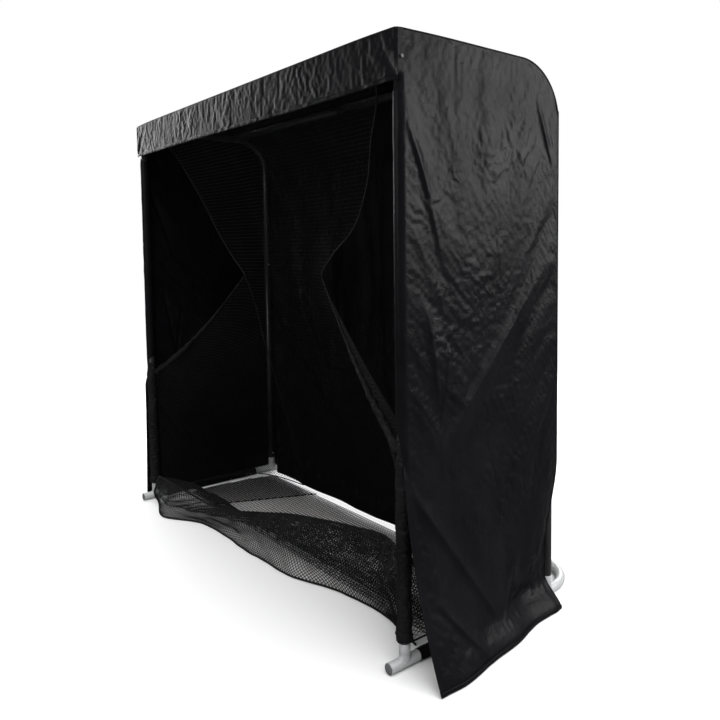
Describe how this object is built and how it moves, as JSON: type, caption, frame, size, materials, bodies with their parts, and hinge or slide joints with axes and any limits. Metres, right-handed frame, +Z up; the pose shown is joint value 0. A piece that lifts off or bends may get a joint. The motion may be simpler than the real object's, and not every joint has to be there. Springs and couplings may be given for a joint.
{
  "type": "golf practice net",
  "caption": "Free-standing golf practice net: push-together tube frame on a grey base, black hourglass ball net with a loose front lip, and a lift-off crinkled fabric cover over roof, back and sides",
  "frame": {"origin": "on the floor under the centre of the outer box", "axes": "+X right as seen from the golfer's side, +Y from the open front to the back, +Z up"},
  "size_m": [2.6728, 1.1678, 2.2852],
  "materials": {
    "base_tube": "light grey powder coat, smooth satin, on 42 mm tube",
    "upper_tube": "black powder coat, satin, on the 42 mm uprights, posts, arms and bars",
    "corner_fitting": "black powder coat on the welded three-way corner sockets",
    "end_cap": "dark grey moulded tube plug",
    "snap_button": "bright zinc plated spring button",
    "netting": "black knotless polyester netting with a small square mesh",
    "sleeve_fabric": "black gathered polyester sleeve",
    "cover_fabric": "black coated polyester with a semi-gloss, crinkled face"
  },
  "bodies": {
    "frame": {"base_rear_bar_l": "base_tube", "base_rear_bar_r": "base_tube", "base_rear_corner_l": "base_tube", "base_rear_corner_r": "base_tube", "base_side_rail_l": "base_tube", "base_side_rail_r": "base_tube", "corner_fitting_l": "corner_fitting", "corner_fitting_r": "corner_fitting", "net_floor_panel": "netting", "net_front_lip": "netting", "net_impact_panel": "netting", "net_rail_sleeve_l": "sleeve_fabric", "net_rail_sleeve_r": "sleeve_fabric", "net_return_panel": "netting", "net_side_l": "netting", "net_side_r": "netting", "net_top_sleeve": "sleeve_fabric", "net_upright_sleeve_l": "sleeve_fabric", "net_upright_sleeve_r": "sleeve_fabric", "rail_end_cap_l": "end_cap", "rail_end_cap_r": "end_cap", "rear_post_l": "upper_tube", "rear_post_r": "upper_tube", "side_arm_l": "upper_tube", "side_arm_r": "upper_tube", "top_front_bar_l": "upper_tube", "top_front_bar_r": "upper_tube", "top_rear_bar_l": "upper_tube", "top_rear_bar_r": "upper_tube", "upright_lower_l": "upper_tube", "upright_lower_r": "upper_tube", "upright_upper_l": "upper_tube", "upright_upper_r": "upper_tube"},
    "cover": {"cover_rear": "cover_fabric", "cover_roof": "cover_fabric", "cover_side_l": "cover_fabric", "cover_side_r": "cover_fabric", "cover_snap_r": "snap_button", "cover_valance": "cover_fabric"},
    "snap_button_corner_back_l": {"snap_button_corner_back_l": "snap_button"},
    "snap_button_corner_back_r": {"snap_button_corner_back_r": "snap_button"},
    "snap_button_corner_down_l": {"snap_button_corner_down_l": "snap_button"},
    "snap_button_corner_down_r": {"snap_button_corner_down_r": "snap_button"},
    "snap_button_corner_front_l": {"snap_button_corner_front_l": "snap_button"},
    "snap_button_corner_front_r": {"snap_button_corner_front_r": "snap_button"},
    "snap_button_front_bar": {"snap_button_front_bar": "snap_button"},
    "snap_button_post_foot_l": {"snap_button_post_foot_l": "snap_button"},
    "snap_button_post_foot_r": {"snap_button_post_foot_r": "snap_button"},
    "snap_button_post_middle_l": {"snap_button_post_middle_l": "snap_button"},
    "snap_button_post_middle_r": {"snap_button_post_middle_r": "snap_button"},
    "snap_button_rail_l": {"snap_button_rail_l": "snap_button"},
    "snap_button_rail_r": {"snap_button_rail_r": "snap_button"},
    "snap_button_rear_bar": {"snap_button_rear_bar": "snap_button"},
    "snap_button_top_rear_bar": {"snap_button_top_rear_bar": "snap_button"},
    "snap_button_top_rear_l": {"snap_button_top_rear_l": "snap_button"},
    "snap_button_top_rear_r": {"snap_button_top_rear_r": "snap_button"},
    "snap_button_upright_foot_l": {"snap_button_upright_foot_l": "snap_button"},
    "snap_button_upright_foot_r": {"snap_button_upright_foot_r": "snap_button"},
    "snap_button_upright_middle_l": {"snap_button_upright_middle_l": "snap_button"},
    "snap_button_upright_middle_r": {"snap_button_upright_middle_r": "snap_button"}
  },
  "joints": [
    {"name": "cover_lift", "type": "slide", "parent": "frame", "child": "cover", "axis": [0, 0, 1], "range_m": [0, 2.35]},
    {"name": "corner_back_l_press", "type": "slide", "parent": "frame", "child": "snap_button_corner_back_l", "axis": [0, 0, 1], "range_m": [0, 0.006], "stiffness_N_per_m": 2000},
    {"name": "corner_back_r_press", "type": "slide", "parent": "frame", "child": "snap_button_corner_back_r", "axis": [0, 0, 1], "range_m": [0, 0.006], "stiffness_N_per_m": 2000},
    {"name": "corner_down_l_press", "type": "slide", "parent": "frame", "child": "snap_button_corner_down_l", "axis": [0, -1, 0], "range_m": [0, 0.006], "stiffness_N_per_m": 2000},
    {"name": "corner_down_r_press", "type": "slide", "parent": "frame", "child": "snap_button_corner_down_r", "axis": [0, -1, 0], "range_m": [0, 0.006], "stiffness_N_per_m": 2000},
    {"name": "corner_front_l_press", "type": "slide", "parent": "frame", "child": "snap_button_corner_front_l", "axis": [0, -1, 0], "range_m": [0, 0.006], "stiffness_N_per_m": 2000},
    {"name": "corner_front_r_press", "type": "slide", "parent": "frame", "child": "snap_button_corner_front_r", "axis": [0, -1, 0], "range_m": [0, 0.006], "stiffness_N_per_m": 2000},
    {"name": "front_bar_press", "type": "slide", "parent": "frame", "child": "snap_button_front_bar", "axis": [0, -1, 0], "range_m": [0, 0.0055], "stiffness_N_per_m": 2000},
    {"name": "post_foot_l_press", "type": "slide", "parent": "frame", "child": "snap_button_post_foot_l", "axis": [-1, 0, 0], "range_m": [0, 0.0055], "stiffness_N_per_m": 2000},
    {"name": "post_foot_r_press", "type": "slide", "parent": "frame", "child": "snap_button_post_foot_r", "axis": [1, 0, 0], "range_m": [0, 0.0055], "stiffness_N_per_m": 2000},
    {"name": "post_middle_l_press", "type": "slide", "parent": "frame", "child": "snap_button_post_middle_l", "axis": [-1, 0, 0], "range_m": [0, 0.0055], "stiffness_N_per_m": 2000},
    {"name": "post_middle_r_press", "type": "slide", "parent": "frame", "child": "snap_button_post_middle_r", "axis": [1, 0, 0], "range_m": [0, 0.0055], "stiffness_N_per_m": 2000},
    {"name": "rail_l_press", "type": "slide", "parent": "frame", "child": "snap_button_rail_l", "axis": [-1, 0, 0], "range_m": [0, 0.0055], "stiffness_N_per_m": 2000},
    {"name": "rail_r_press", "type": "slide", "parent": "frame", "child": "snap_button_rail_r", "axis": [1, 0, 0], "range_m": [0, 0.0055], "stiffness_N_per_m": 2000},
    {"name": "rear_bar_press", "type": "slide", "parent": "frame", "child": "snap_button_rear_bar", "axis": [0, 0, -1], "range_m": [0, 0.0055], "stiffness_N_per_m": 2000},
    {"name": "top_rear_bar_press", "type": "slide", "parent": "frame", "child": "snap_button_top_rear_bar", "axis": [0, 0, 1], "range_m": [0, 0.0055], "stiffness_N_per_m": 2000},
    {"name": "top_rear_l_press", "type": "slide", "parent": "frame", "child": "snap_button_top_rear_l", "axis": [0, 0, 1], "range_m": [0, 0.0055], "stiffness_N_per_m": 2000},
    {"name": "top_rear_r_press", "type": "slide", "parent": "frame", "child": "snap_button_top_rear_r", "axis": [0, 0, 1], "range_m": [0, 0.0055], "stiffness_N_per_m": 2000},
    {"name": "upright_foot_l_press", "type": "slide", "parent": "frame", "child": "snap_button_upright_foot_l", "axis": [-1, 0, 0], "range_m": [0, 0.0055], "stiffness_N_per_m": 2000},
    {"name": "upright_foot_r_press", "type": "slide", "parent": "frame", "child": "snap_button_upright_foot_r", "axis": [1, 0, 0], "range_m": [0, 0.0055], "stiffness_N_per_m": 2000},
    {"name": "upright_middle_l_press", "type": "slide", "parent": "frame", "child": "snap_button_upright_middle_l", "axis": [-1, 0, 0], "range_m": [0, 0.0055], "stiffness_N_per_m": 2000},
    {"name": "upright_middle_r_press", "type": "slide", "parent": "frame", "child": "snap_button_upright_middle_r", "axis": [1, 0, 0], "range_m": [0, 0.0055], "stiffness_N_per_m": 2000}
  ]
}
